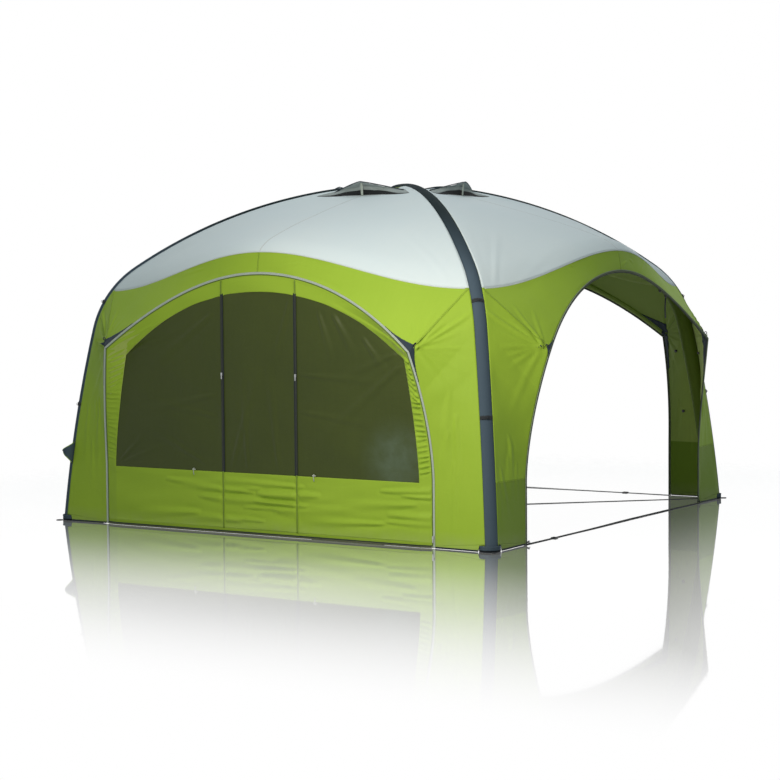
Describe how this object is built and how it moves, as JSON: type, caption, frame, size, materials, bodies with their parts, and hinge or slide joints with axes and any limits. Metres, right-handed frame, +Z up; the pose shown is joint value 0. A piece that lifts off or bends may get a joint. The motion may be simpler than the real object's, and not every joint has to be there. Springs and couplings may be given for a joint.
{
  "type": "inflatable party tent",
  "caption": "Square dome shelter on crossed inflatable beams, with arched open sides, one zipped-in window wall, roof vents and ground straps",
  "frame": {"origin": "on the ground under the crown, at the middle of the footprint", "axes": "+Z up, the zipped-in wall closes the front at -Y, +X to the right seen from the front"},
  "size_m": [3.8702, 3.87, 2.451],
  "materials": {
    "green_fabric": "coated polyester, lightly creased",
    "roof_fabric": "silver coated polyester, satin",
    "slate_fabric": "heavy woven polyester, matt",
    "zip_band": "woven zip tape with coil",
    "zip_tape": "woven zip tape with coil",
    "webbing": "woven webbing",
    "bladder_film": "smooth airtight film",
    "window_film": "tinted mesh and film, semi-gloss",
    "pole": "black coated tube",
    "black_plastic": "moulded, fine texture",
    "slate_plastic": "moulded, fine texture",
    "slider_metal": "black painted zinc"
  },
  "bodies": {
    "shelter": {"roof_panel_front": "roof_fabric", "side_panel_front": "green_fabric", "arch_zip_front": "zip_band", "brow_pole_front": "pole", "vent_prop_front": "black_plastic", "corner_boot_front": "slate_fabric", "roof_panel_right": "roof_fabric", "side_panel_right": "green_fabric", "arch_zip_right": "zip_band", "brow_pole_right": "pole", "vent_prop_right": "black_plastic", "corner_boot_right": "slate_fabric", "roof_panel_back": "roof_fabric", "side_panel_back": "green_fabric", "arch_zip_back": "zip_band", "brow_pole_back": "pole", "vent_prop_back": "black_plastic", "corner_boot_back": "slate_fabric", "roof_panel_left": "roof_fabric", "side_panel_left": "green_fabric", "arch_zip_left": "zip_band", "brow_pole_left": "pole", "vent_prop_left": "black_plastic", "corner_boot_left": "slate_fabric", "sleeve_strip_over": "slate_fabric", "sleeve_channel_over": "green_fabric", "bladder_over": "bladder_film", "valve_base_over": "black_plastic", "diagonal_strap_over": "webbing", "sleeve_strip_under": "slate_fabric", "sleeve_channel_under": "green_fabric", "bladder_under": "bladder_film", "valve_base_under": "black_plastic", "diagonal_strap_under": "webbing", "ground_strap_right": "webbing", "ground_strap_back": "webbing", "ground_strap_left": "webbing", "wall_left": "green_fabric", "window_left": "window_film", "wall_door": "green_fabric", "window_door": "window_film", "wall_right": "green_fabric", "window_right": "window_film", "door_zip_left": "zip_tape", "door_zip_right": "zip_tape", "wall_skirt": "slate_fabric"},
    "vent_cover_front": {"vent_hood_front": "slate_fabric"},
    "vent_cover_right": {"vent_hood_right": "slate_fabric"},
    "vent_cover_back": {"vent_hood_back": "slate_fabric"},
    "vent_cover_left": {"vent_hood_left": "slate_fabric"},
    "valve_cap_over": {"valve_cap_over": "slate_plastic"},
    "valve_flap_over": {"valve_flap_over": "slate_fabric"},
    "valve_cap_under": {"valve_cap_under": "slate_plastic"},
    "valve_flap_under": {"valve_flap_under": "slate_fabric"},
    "strap_buckle_right": {"strap_buckle_right": "black_plastic"},
    "strap_buckle_back": {"strap_buckle_back": "black_plastic"},
    "strap_buckle_left": {"strap_buckle_left": "black_plastic"},
    "zip_slider_left": {"zip_slider_left": "slider_metal"},
    "zip_slider_right": {"zip_slider_right": "slider_metal"},
    "arch_slider": {"arch_slider": "slider_metal"}
  },
  "joints": [
    {"name": "vent_hood_front_hinge", "type": "hinge", "parent": "shelter", "child": "vent_cover_front", "pos_m": [0, -0.43, 2.37856], "axis": [1, 0, 0], "range_deg": [0, 38], "deforming": ["vent_prop_front"]},
    {"name": "vent_hood_right_hinge", "type": "hinge", "parent": "shelter", "child": "vent_cover_right", "pos_m": [0.43, 0, 2.37856], "axis": [0, 1, 0], "range_deg": [0, 38], "deforming": ["vent_prop_right"]},
    {"name": "vent_hood_back_hinge", "type": "hinge", "parent": "shelter", "child": "vent_cover_back", "pos_m": [0, 0.43, 2.37856], "axis": [-1, 0, 0], "range_deg": [0, 38], "deforming": ["vent_prop_back"]},
    {"name": "vent_hood_left_hinge", "type": "hinge", "parent": "shelter", "child": "vent_cover_left", "pos_m": [-0.43, 0, 2.37856], "axis": [0, -1, 0], "range_deg": [0, 38], "deforming": ["vent_prop_left"]},
    {"name": "valve_cap_over_turn", "type": "hinge", "parent": "shelter", "child": "valve_cap_over", "pos_m": [-1.76437, 1.76437, 0.50143], "axis": [-0.6998, 0.6998, 0.1435], "range_deg": [0, 540]},
    {"name": "valve_flap_over_hinge", "type": "hinge", "parent": "shelter", "child": "valve_flap_over", "pos_m": [-1.77428, 1.72232, 0.49814], "axis": [0.1014, -0.1014, 0.9897], "range_deg": [-72, 42]},
    {"name": "valve_cap_under_turn", "type": "hinge", "parent": "shelter", "child": "valve_cap_under", "pos_m": [-1.76437, -1.76437, 0.50143], "axis": [-0.6998, -0.6998, 0.1435], "range_deg": [0, 540]},
    {"name": "valve_flap_under_hinge", "type": "hinge", "parent": "shelter", "child": "valve_flap_under", "pos_m": [-1.72232, -1.77428, 0.49814], "axis": [0.1014, 0.1014, 0.9897], "range_deg": [-72, 42]},
    {"name": "strap_buckle_right_slide", "type": "slide", "parent": "shelter", "child": "strap_buckle_right", "axis": [0, 1, 0], "range_m": [-0.3, 0.6]},
    {"name": "strap_buckle_back_slide", "type": "slide", "parent": "shelter", "child": "strap_buckle_back", "axis": [-1, 0, 0], "range_m": [-0.3, 0.6]},
    {"name": "strap_buckle_left_slide", "type": "slide", "parent": "shelter", "child": "strap_buckle_left", "axis": [0, -1, 0], "range_m": [-0.3, 0.6]},
    {"name": "zip_slider_left_slide", "type": "slide", "parent": "shelter", "child": "zip_slider_left", "axis": [0, 0, 1], "range_m": [-0.95, 0.55]},
    {"name": "zip_slider_right_slide", "type": "slide", "parent": "shelter", "child": "zip_slider_right", "axis": [0, 0, 1], "range_m": [-0.95, 0.55]},
    {"name": "arch_slider_slide", "type": "slide", "parent": "shelter", "child": "arch_slider", "axis": [0, 0, 1], "range_m": [0, 0.3]}
  ]
}
